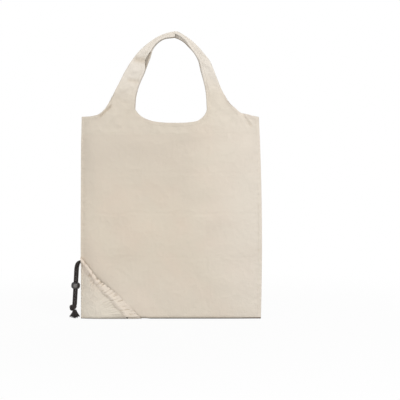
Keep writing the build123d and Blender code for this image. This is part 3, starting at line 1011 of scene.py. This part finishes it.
def strap_surface(side, hand, share_across, shift=0.0):
    """Points of one strap, in rows up it, at shares of the way across its cloth from the outer edge
    to the inner one, each moved by a distance shift.

    Higher up the cloth is wider than it shows: it folds over a line along the outer outline, and the
    rest hangs behind. At a distance a from a fold of radius r, with h the root of a squared plus r
    squared, the cloth lies h - r across and r (1 - a / h) back.

    On the front wall the inner edge is drawn back, on the left at a notch high up, on the right
    half-way up and where the fold opens towards the top, where the outer edge slants back too. On
    the back wall the inner edge curls forwards half-way up. At the top the right strap goes in under
    the left one."""
    outer = through(outer_left if hand < 0 else outer_right, strap_rows)
    inner = through(inner_left if hand < 0 else inner_right, strap_rows)
    share = np.linspace(0, 1, strap_rows)[:, None]
    across = inner - outer
    width = np.linalg.norm(across, axis=1)[:, None]
    across = across / width
    flat_width = (strap_outside - strap_inside) * (1 - 0.52 * share)
    behind_width = np.clip(flat_width - width, 0, 0.94 * width) * smooth_step(share / 0.4)
    middle = bell(share - 0.5, 0.13)
    opens = smooth_step((share - 0.68) / 0.3) if hand > 0 and side == FRONT else 0 * share
    above = inner[:, 1:] - notch_height
    notch = 7.5 * mm * bell(above, np.where(above > 0, 18 * mm, 13 * mm))
    drawn_back = notch if hand < 0 else 2 * mm * middle
    front_width = width - (drawn_back + 6.5 * mm * opens if side == FRONT else 0)
    whole = behind_width + front_width
    distance = whole * share_across + shift
    place = distance - behind_width
    radius = fold_radius * (1 - 0.55 * opens) * smooth_step(behind_width / (9 * mm))
    far = np.hypot(place, radius) + 1e-9
    from_fold = (far - radius) * (1 + radius / width)
    set_back = radius * (1 - place / far) * smooth_step(behind_width / (3 * mm))
    x = outer[:, :1] + across[:, :1] * from_fold
    z = outer[:, 1:] + across[:, 1:] * from_fold
    v = distance / whole
    level = half_depth + (apex_depth - half_depth) * np.clip((z - handle_base) / (165 * mm), 0, 1)
    puff = 1.6 * mm * np.sin(pi * v) * smooth_step(share / 0.2) * (1 - smooth_step((share - 0.5) / 0.3))
    at_end = smooth_step((share - 0.93) / 0.05)
    tuck = (0.9 if hand > 0 else -0.3) * mm * at_end
    curl = 8 * mm * middle * np.clip((v - 0.7) / 0.3, 0, 1) ** 2 if side == BACK else 0.0
    slant = 9 * mm * opens * np.clip(1 - distance / (10 * mm), 0, 1)
    calm = 1 - 0.8 * smooth_step((share - 0.6) / 0.25)
    depth = level + puff - set_back - tuck - curl - slant + top_relief(x, z, side) * calm
    return stacked(x, side * depth, z)


def strap_uv(points, foot_x):
    """Flat places of a strap's cloth: its own length upwards and its own width across."""
    up = distances(points[:, points.shape[1] // 2])
    over = np.linalg.norm(np.diff(points, axis=1), axis=2)
    over = np.concatenate([np.zeros((len(points), 1)), np.cumsum(over, axis=1)], axis=1)
    over = over - over[:, -1:] / 2 + foot_x
    return stacked(over, handle_base + up[:, None])


def edge_frame(line, beside, side):
    """Along a line on a cloth: its heading, the direction towards a second line beside it, and the
    outward normal, whose side is told at the line's lowest point, where no cloth is folded over."""
    heading = unit(np.gradient(line, axis=0))
    normal = unit(np.cross(heading, beside - line))
    lowest = line[..., 2].argmin()
    normal = normal * np.sign(normal.reshape(-1, 3)[lowest, 1] * side)
    return heading, unit(beside - line), normal


# Distances in from an edge at which its hem follows the cloth, and its thickness there as a share
hem_steps = np.array((0, 0.3, 1.2, 3.4, 5.2, 5.9, 6.7, 7.1)) * mm
hem_swell = np.array((0.66, 0.92, 1, 0.88, 0.72, 0.97, 0.86, 0.4))
hem_centre = 0.65 * mm  # the middle of a hem's thickness, in from the cloth's outer face
hem_half = 1.15 * mm


def hem(lines, side, seed):
    """A folded hem along an edge. lines holds, for each place along the edge, the points of the cloth
    at hem_steps in from it. A flat rounded profile stands off both faces of the cloth there, and its
    thickness changes a little along the edge, as a sewn hem's does."""
    count = int(length_of(lines[:, 0]) / (1.6 * mm))
    lines = np.stack(resampled(count, *np.moveaxis(lines, 1, 0)), axis=1)
    heading = unit(np.gradient(lines, axis=0))
    inwards = unit(np.gradient(lines, axis=1))
    normal = unit(np.cross(heading, inwards))
    lowest = lines[:, 0, 2].argmin()
    normal = normal * np.sign(normal[lowest, 0, 1] * side)
    along = np.linspace(0, length_of(lines[:, 0]), count)[:, None]
    thinner = 1 - 0.5 * smooth_step((lines[:, :1, 2] - 530 * mm) / (50 * mm))
    swell = hem_swell * (1 + 0.2 * relief(along, hem_steps[None], 9 * mm, seed)) * thinner
    proud = (-hem_centre * thinner + hem_half * swell)[..., None]
    under = (-hem_centre * thinner - hem_half * swell)[..., None]
    edge = lines[:, :1] - inwards[:, :1] * 0.5 * mm - normal[:, :1] * hem_centre * thinner[..., None]
    points = np.concatenate([edge, lines + normal * proud, (lines + normal * under)[:, ::-1]], axis=1)
    reach = np.concatenate([[-0.5 * mm], hem_steps, 16 * mm - hem_steps[::-1]])[None]
    return outward(points, capped_faces(ring_numbers(points.shape)), stacked(along, reach + 0.3))


def outward(points, faces, uv):
    """The same closed shape with its faces turned outwards, told by the sign of its volume."""
    flat = points.reshape(-1, 3)
    first = np.array([[face[0], face[1], face[2]] for face in faces if len(face) == 4])
    second = np.array([[face[0], face[2], face[3]] for face in faces if len(face) == 4])
    corners = flat[np.concatenate([first, second])] - flat.mean(axis=0)
    volume = (corners[:, 0] * np.cross(corners[:, 1], corners[:, 2])).sum()
    if volume < 0:
        faces = [face[::-1] for face in faces]
    return points, faces, uv


def capsule():
    """A unit stitch: a short rounded rod along x, as points and faces."""
    along = np.array((-0.82, -0.35, 0.35, 0.82))
    radius = np.array((0.62, 1, 1, 0.62))
    turns = np.linspace(0, tau, 6, endpoint=False)
    rings = stacked(along[:, None], radius[:, None] * np.cos(turns), radius[:, None] * np.sin(turns))
    index = ring_numbers(rings.shape)
    tip = rings[..., 0].size
    faces = grid_faces(index).tolist()
    faces += [[tip, b, a] for a, b in zip(index[0, :-1], index[0, 1:])]
    faces += [[tip + 1, a, b] for a, b in zip(index[-1, :-1], index[-1, 1:])]
    points = np.concatenate([rings.reshape(-1, 3), [(-1, 0, 0), (1, 0, 0)]])
    return outward(points, faces, None)[:2]


stitch_points, stitch_faces = capsule()


def stitches(places, heading, inwards, normal, length=stitch_length, radius=stitch_radius):
    """A capsule at each place, laid along the heading and slightly flattened onto the cloth."""
    shape = stitch_points[None]
    points = (
        places[:, None]
        + heading[:, None] * shape[..., :1] * length / 2
        + inwards[:, None] * shape[..., 1:2] * radius
        + normal[:, None] * shape[..., 2:] * radius * 0.8
    )
    shifts = np.arange(len(places))[:, None] * len(stitch_points)
    faces = [(np.array(face) + shifts).tolist() for face in stitch_faces]
    return points, [face for group in faces for face in group], points[..., :2]


def stitch_line(line, beside, side, lifts=(0.05 * mm,)):
    """Rows of stitches along a line on a cloth, one row for each lift above its outer face."""
    count = max(4, int(length_of(line) / stitch_pitch))
    line, beside = resampled(count, line, beside)
    frame_of_line = [part[1:-1] for part in edge_frame(line, beside, side)]
    return [stitches(line[1:-1] + frame_of_line[2] * lift, *frame_of_line) for lift in lifts]


def band_hem_lines(side, columns, feet):
    """Points of the band's cloth at hem_steps in from a stretch of its outline: square to it, but
    turned level where a strap stands. feet tells whether a strap stands at either end."""
    edge = outline[columns]
    heading = unit(np.gradient(edge, axis=0))
    square = stacked(heading[:, 1], -heading[:, 0])
    along = distances(edge)
    first = (1 - smooth_step(along / (16 * mm))) * feet[0]
    last = (1 - smooth_step((along[-1] - along) / (16 * mm))) * feet[1]
    level = stacked(last - first, 0)
    towards = unit(square * (1 - first - last)[:, None] + level)
    towards = towards / (towards * square).sum(1)[:, None]
    flat = edge[:, None] + towards[:, None] * hem_steps[:, None]
    return band_points(flat[..., 0], flat[..., 1], side)


def hemmed_edges(side):
    """Points of the cloth at hem_steps in from its three hemmed edges: from the left shoulder up the
    outside, along both insides with the mouth between them, and down the outside to the right."""
    edges = (
        (
            band_hem_lines(side, slice(3, left_foot.start + 1), (0, 1)),
            strap_surface(side, -1, 0, hem_steps[None])[1:],
        ),
        (
            strap_surface(side, -1, 1, -hem_steps[None])[:0:-1],
            band_hem_lines(side, slice(left_foot.stop - 1, right_foot.start + 1), (1, 1)),
            strap_surface(side, 1, 1, -hem_steps[None])[1:],
        ),
        (
            strap_surface(side, 1, 0, hem_steps[None])[:0:-1],
            band_hem_lines(side, slice(right_foot.stop - 1, -3), (1, 0)),
        ),
    )
    return [np.concatenate(edge) for edge in edges]


def top_cloth(side):
    """One wall above the facing line with its two straps, its hems and their stitches. It returns the
    grid of the cloth below the straps."""
    name = SIDES[side]
    band = band_grid(side)
    band_index = numbers(band.shape)
    whole = np.linspace(0, 1, strap_columns)[None]
    points = [band.reshape(-1, 3)]
    uvs = [stacked(band[..., 0], band[..., 2]).reshape(-1, 2)]
    faces = [grid_faces(band_index, side == BACK)]
    total = len(points[0])
    box_rows = []
    for hand, columns, foot_x in ((-1, left_foot, -0.107), (1, right_foot, 0.107)):
        strap = strap_surface(side, hand, whole)
        strap = strap[:, ::-1] if hand > 0 else strap
        strap[0] = band[-1, columns]
        index = numbers(strap[1:].shape, total)
        index = np.concatenate([band_index[-1:, columns], index])
        faces.append(grid_faces(index, side == BACK))
        points.append(strap[1:].reshape(-1, 3))
        uvs.append(strap_uv(strap, foot_x)[1:].reshape(-1, 2))
        total += len(points[-1])
        if hand < 0:
            shown = slice(strap_columns // 2 + 3, strap_columns - 2)
            for row in (strap_rows - 9, strap_rows - 3):
                box_rows += stitch_line(strap[row, shown], strap[row + 1, shown], side, lifts=(0.3 * mm,))
    points = np.concatenate(points)
    cloth_piece = new_piece(
        f"{name}_top_cloth",
        points,
        np.concatenate(faces),
        np.concatenate(uvs),
        handle_cotton,
        crease_shade_share(points, side),
    )
    thicken(cloth_piece)
    finish_piece(
        cloth_piece,
        "handle_cotton",
        f"{name}_panel_upper",
        f"{name}_strap_left",
        f"{name}_strap_right",
        f"{name}_strap_seam",
    )

    edges = hemmed_edges(side)
    hems = [hem(edge, side, 80 + number) for number, edge in enumerate(edges)]
    hem_points, hem_faces, hem_uv = joined(hems)
    crease_shade = crease_shade_share(hem_points, side)
    hem_piece = new_piece(f"{name}_hems", hem_points, hem_faces, hem_uv, handle_cotton, crease_shade)
    finish_piece(hem_piece, "handle_cotton")
    rows = box_rows
    for edge in edges:
        rows += stitch_line(edge[:, 4], edge[:, 5], side, lifts=(0.15 * mm, -1.1 * mm))
    thread_piece = new_piece(f"{name}_hem_stitches", *joined(rows), sewing_thread)
    finish_piece(thread_piece, "handle_cotton")
    for piece in (cloth_piece, hem_piece, thread_piece):
        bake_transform(piece)
    return band


def facing(side, band):
    """The facing inside the top of a wall: the same shape one layer further in, short of the seams,
    with stitches along its lower edge that show outside."""
    name = SIDES[side]
    air = 0.12 * mm
    short_of_seams = slice(9, -9)
    inner = band[:, short_of_seams].copy()
    inner[..., 1] -= side * (cloth_thickness + air)
    piece = new_piece(
        f"{name}_facing_cloth",
        inner,
        grid_faces(numbers(inner.shape), side == BACK),
        stacked(inner[..., 0] + 0.7, inner[..., 2]),
        handle_cotton,
    )
    thicken(piece)
    finish_piece(piece, "handle_cotton", f"{name}_facing")
    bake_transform(piece)
    rows = stitch_line(band[2, 6:-6], band[3, 6:-6], side)
    line = new_piece(f"{name}_facing_stitches", *joined(rows), sewing_thread)
    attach(finish_piece(line, "cotton"), "upper_bag")


def side_seam(hand):
    """The seam allowance inside a side seam and the two rows of stitches that hold it, one on each
    face of the bag."""
    name = "left" if hand < 0 else "right"
    z = np.linspace(2 * mm, body_height - 2 * mm, 216)
    outermost = seam_line(hand, z) - hand * 1.6 * mm
    wave = 0.25 * mm * relief(z, z * 0, 12 * mm, 90 + hand)
    front_half = np.array([(0, -0.25), (2.5, -0.3), (5.5, -0.3), (6.2, -0.15)]) * mm
    profile = np.concatenate([front_half[:1], (front_half * (1, -1)), front_half[:0:-1]])
    points = stacked(
        outermost[:, None] - hand * profile[:, 0], profile[:, 1] + wave[:, None] * 0.2, z[:, None]
    )
    uv = stacked(points[..., 0], points[..., 2])
    faces = capped_faces(ring_numbers(points.shape))
    allowance = new_piece(f"{name}_seam_allowance", *outward(points, faces, uv), body_cotton)
    finish_piece(allowance, "cotton", f"{name}_seam_lower", f"{name}_seam_upper")
    rows = []
    z = np.linspace(8 * mm, body_height - 8 * mm, 320)
    for side in (FRONT, BACK):
        lines = []
        for from_seam in (7.4 * mm, 8.4 * mm):
            x = seam_line(hand, z) - hand * from_seam
            lines.append(stacked(x, side * (wall_depth(x, z) + 0.02 * mm), z))
        rows += stitch_line(*lines, side)
    seam_stitches = new_piece(f"{name}_seam_stitches", *joined(rows), sewing_thread)
    finish_piece(seam_stitches, "cotton")
    for piece in (allowance, seam_stitches):
        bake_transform(piece)


# ---------------------------------------------------------------- corner pouch
def across_corner(t, top, end):
    """Places on a straight line from the left seam, at the height top, to the foot, at x = end."""
    start = np.array((float(left_edge(top)), top))
    end = np.array((end, 0.8 * mm))
    return start + (end - start) * np.asarray(t)[..., None]


def mouth_line(t):
    """The free edge of the pouch's mouth, which bends in towards the corner, then out."""
    share = np.asarray(t)[..., None]
    bend = np.array((0.7, 0.7)) * 4 * mm
    return across_corner(t, mouth_top, mouth_end) - bend * np.sin(tau * share) * (1 - 0.5 * share)


def casing_line(t):
    """The stitched foot of the cord casing."""
    return across_corner(t, casing_top, casing_end)


def pouch_wall(x, z):
    """How far the pouch's outer face stands from the centre plane, with a broad swell of 4 mm along
    the casing, which falls away over 18 mm on one side and most of the way to the mouth on the other."""
    beyond = (x + foot_reach) * off_casing[0] + (z - casing_top) * off_casing[1]
    fall = np.where(beyond < 0, bell(beyond, 18 * mm), 1 - 0.95 * smooth_step(beyond / (20 * mm)))
    rise = smooth_step(inset(x, z) / (20 * mm)) * smooth_step((z + 1 * mm) / (12 * mm))
    return wall_depth(x, z, pouch_depth, pouch_seam_half, -0.3 * mm) + 4 * mm * fall * rise


def gathers(t, away, size, seed):
    """Gathers square to the mouth, between -1 and 1, which drift a little with distance from it."""
    along = t * gathered_length
    return relief(along + 0.15 * away, away, size, seed, 6.0, pi / 2)


def pouch(side):
    """The cloth of the pouch: rows beside the mouth that shrink towards the corner, where they end
    in one point. Gathers from the casing fade out over the cloth."""
    name = SIDES[side]
    seed = 110 if side == FRONT else 130
    columns = 150
    rows = 64
    t = np.linspace(0, 1, columns)[None]
    shrink = (1 - np.linspace(0, 1, rows) ** 0.9)[:, None]
    corner = np.array((float(left_edge(0.0)) + 0.2 * mm, 0.1 * mm))
    flat = corner + (casing_line(t) * 0.86 + mouth_line(t) * 0.14 - corner) * shrink[..., None]
    x = flat[..., 0]
    z = flat[..., 1]
    away = (1 - shrink) * 75 * mm
    near = np.exp(-away / (15 * mm))
    rise = smooth_step(inset(x, z) / (16 * mm)) * smooth_step(z / (10 * mm))
    folds = 0.95 * mm * gathers(t, away, 8 * mm, seed) * near
    slack = 1.0 * mm * relief(x, z, 40 * mm, seed + 1) + 0.5 * mm * ridges(x, z, 24 * mm, seed + 2)
    depth = pouch_wall(x, z) + (folds + slack) * rise
    points = stacked(x, side * depth, z)
    index = numbers(points[:-1].shape)
    pole = index.size
    faces = grid_faces(index, side == FRONT).tolist()
    last = index[-1]
    fan = [[pole, b, a] if side == FRONT else [pole, a, b] for a, b in zip(last[:-1], last[1:])]
    cloth_points = np.concatenate([points[:-1].reshape(-1, 3), points[-1, :1]])
    uv = stacked(cloth_points[:, 0] + 0.9, cloth_points[:, 2])
    piece = new_piece(f"{name}_pouch_cloth", cloth_points, faces + fan, uv, pouch_cotton)
    thicken(piece)
    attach(finish_piece(piece, "pouch_cotton", f"{name}_pouch"), "bag")


def across_casing(x, z):
    """How far along the mouth and across the casing places lie, both as shares: each is moved along
    the mouth until the line from the mouth to the stitched foot passes through it."""
    place = stacked(x, z)
    t = np.full(len(x), 0.5)
    for _ in range(40):
        edge = mouth_line(t)
        span = casing_line(t) - edge
        across = ((place - edge) * span).sum(1) / (span**2).sum(1)
        rest = place - edge - span * across[:, None]
        forward = mouth_line(t + 0.001) - mouth_line(t)
        t = t + 0.8 * (rest * forward).sum(1) / (forward**2).sum(1) * 0.001
    return t, across


def casing(side, cord):
    """The gathered casing of the cord: a flat closed loop of cloth, carried along the mouth, which
    swells over the cord like a flat-topped bell and runs out in a frill. Gathers are deepest at the
    frill's free edge. cord is the line that the cord follows."""
    name = SIDES[side]
    seed = 150 if side == FRONT else 170
    cord = cord[cord[:, 1] * side > 3 * mm]
    cord_t, cord_across = across_casing(cord[:, 0], cord[:, 2])
    order = np.argsort(cord_t)
    rows = 320
    outer_columns = 38
    inner_columns = 12
    t = np.linspace(0, 1, rows)[:, None]
    width = np.linalg.norm(casing_line(t[:, 0]) - mouth_line(t[:, 0]), axis=1)[:, None]
    centre = np.interp(t, cord_t[order], cord_across[order]) * width
    clear = cord_diameter / 2 + 0.9 * mm
    crest = np.interp(t, cord_t[order], cord[order, 1] * side) + clear
    start = np.minimum(centre - 5.6 * mm, 0)
    whole = np.maximum(width, centre + 5 * mm)

    outside = start + np.linspace(0, 1, outer_columns)[None, ::-1] * (whole - start)
    floor = 0.3 * mm + 0.3 * mm * (1 - smooth_step((outside - 2 * mm) / (8 * mm)))
    floor = floor * smooth_step((outside - start + 0.4 * mm) / (1.2 * mm))
    inside = start + np.linspace(0, 1, inner_columns)[None, 1:] * (whole - start)
    reach = np.concatenate([outside, inside], axis=1)
    over_cord = np.exp(-(np.abs((reach - centre) / (5.2 * mm)) ** 2.3))
    over_cord[:, outer_columns:] = 0
    height = np.concatenate([floor, 0.25 * mm * (1 - (inside - start) / (whole - start))], axis=1)

    frill = bell(reach, 5 * mm)
    fold = gathers(t, reach, 8.5 * mm, seed)
    fine = gathers(t, reach, 3.4 * mm, seed + 1)
    ends = smooth_step(t / 0.04) * smooth_step((1 - t) / 0.05)
    moved = reach - (1.1 * fold + 0.6 * fine) * mm * frill * ends
    flat = mouth_line(t) + (casing_line(t) - mouth_line(t)) * (moved / width)[..., None]
    x = np.maximum(flat[..., 0], left_edge(flat[..., 1]) - 1.0 * mm)
    z = np.maximum(flat[..., 1], 1.8 * mm)
    height = height + ((0.5 * fold + 0.25 * fine) * frill + 0.2 * fold + 0.15 * fine) * mm * ends
    base = pouch_wall(x, z) + np.maximum(height, -0.4 * mm)
    swollen = crest + (0.3 * np.abs(fine) + 0.4 * np.maximum(fold, 0)) * mm * ends
    depth = base + np.maximum(swollen - base, 0) * over_cord
    away = np.hypot(x[..., None] - cord[:, 0], z[..., None] - cord[:, 2])
    nearest = away.argmin(axis=-1)
    over = np.sqrt(np.maximum(clear**2 - away.min(axis=-1) ** 2, 0))
    covering = (over > 0) & (np.arange(reach.shape[1]) < outer_columns)
    depth = np.where(covering, np.maximum(depth, cord[nearest, 1] * side + over), depth)
    points = stacked(x, side * depth, z)
    faces = grid_faces(ring_numbers(points.shape)).tolist()
    uv = stacked(t * gathered_length + 1.3, reach * 1.4)
    # painted shade in the valleys of the gathers
    crease_shade = np.clip(-0.4 * fold - 0.2 * fine, 0, 0.6) * ends
    piece = new_piece(f"{name}_cord_casing", *outward(points, faces, uv), gathered_shaded_cotton, crease_shade)
    thicken(piece, 0.45 * mm)
    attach(finish_piece(piece, "pouch_cotton", f"{name}_channel"), "bag")

    t = np.linspace(0.01, 0.97, 200)
    line = casing_line(t)
    beside = casing_line(t) * 0.9 + mouth_line(t) * 0.1
    lines = [stacked(x, side * (pouch_wall(x, z) + 0.55 * mm), z) for x, z in (line.T, beside.T)]
    seam = new_piece(f"{name}_casing_stitches", *joined(stitch_line(*lines, side)), sewing_thread)
    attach(finish_piece(seam, "pouch_cotton"), "bag")


def overlock():
    """Loops of thread round the left edge of the pouch, one every few millimetres."""
    z = np.arange(3.5, 108, 3.1) * mm
    count = len(z)
    random = np.random.default_rng(7)
    last_turn = 0.62 * pi
    turns = np.linspace(-last_turn, last_turn, 9)[None]
    reach = 3.0 * mm + 0.7 * mm * random.uniform(-1, 1, (count, 1))
    edge = left_edge(z)[:, None]
    x = edge + 1.4 * mm - 1.6 * mm * np.cos(turns) + (reach - 1.4 * mm) * (np.abs(turns) / last_turn) ** 2
    y = (pouch_seam_half + 0.35 * mm) * np.sin(turns) * 1.06
    slant = (random.uniform(-0.6, 0.6, (count, 1)) + 1.2 * turns / pi) * mm
    line = stacked(x, y, z[:, None] + slant)
    heading = unit(np.gradient(line, axis=1))
    across = unit(np.cross(heading, (0, 0, 1)))
    points, faces = thin_tubes(line, 0.36 * mm, across, np.cross(heading, across))
    piece = new_piece("pouch_overlock", points, faces, points[..., :2], sewing_thread)
    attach(finish_piece(piece, "pouch_cotton"), "bag")


# ---------------------------------------------------------------- the whole bag
place_camera()
light_room()
lay_floor()
drawstring_line = make_cords()
for bag_side in (FRONT, BACK):
    body_cloth(bag_side)
    facing(bag_side, top_cloth(bag_side))
    pouch(bag_side)
    casing(bag_side, drawstring_line)
for seam_hand in (-1, 1):
    side_seam(seam_hand)
overlock()

bpy.context.scene.view_settings.view_transform = "Standard"
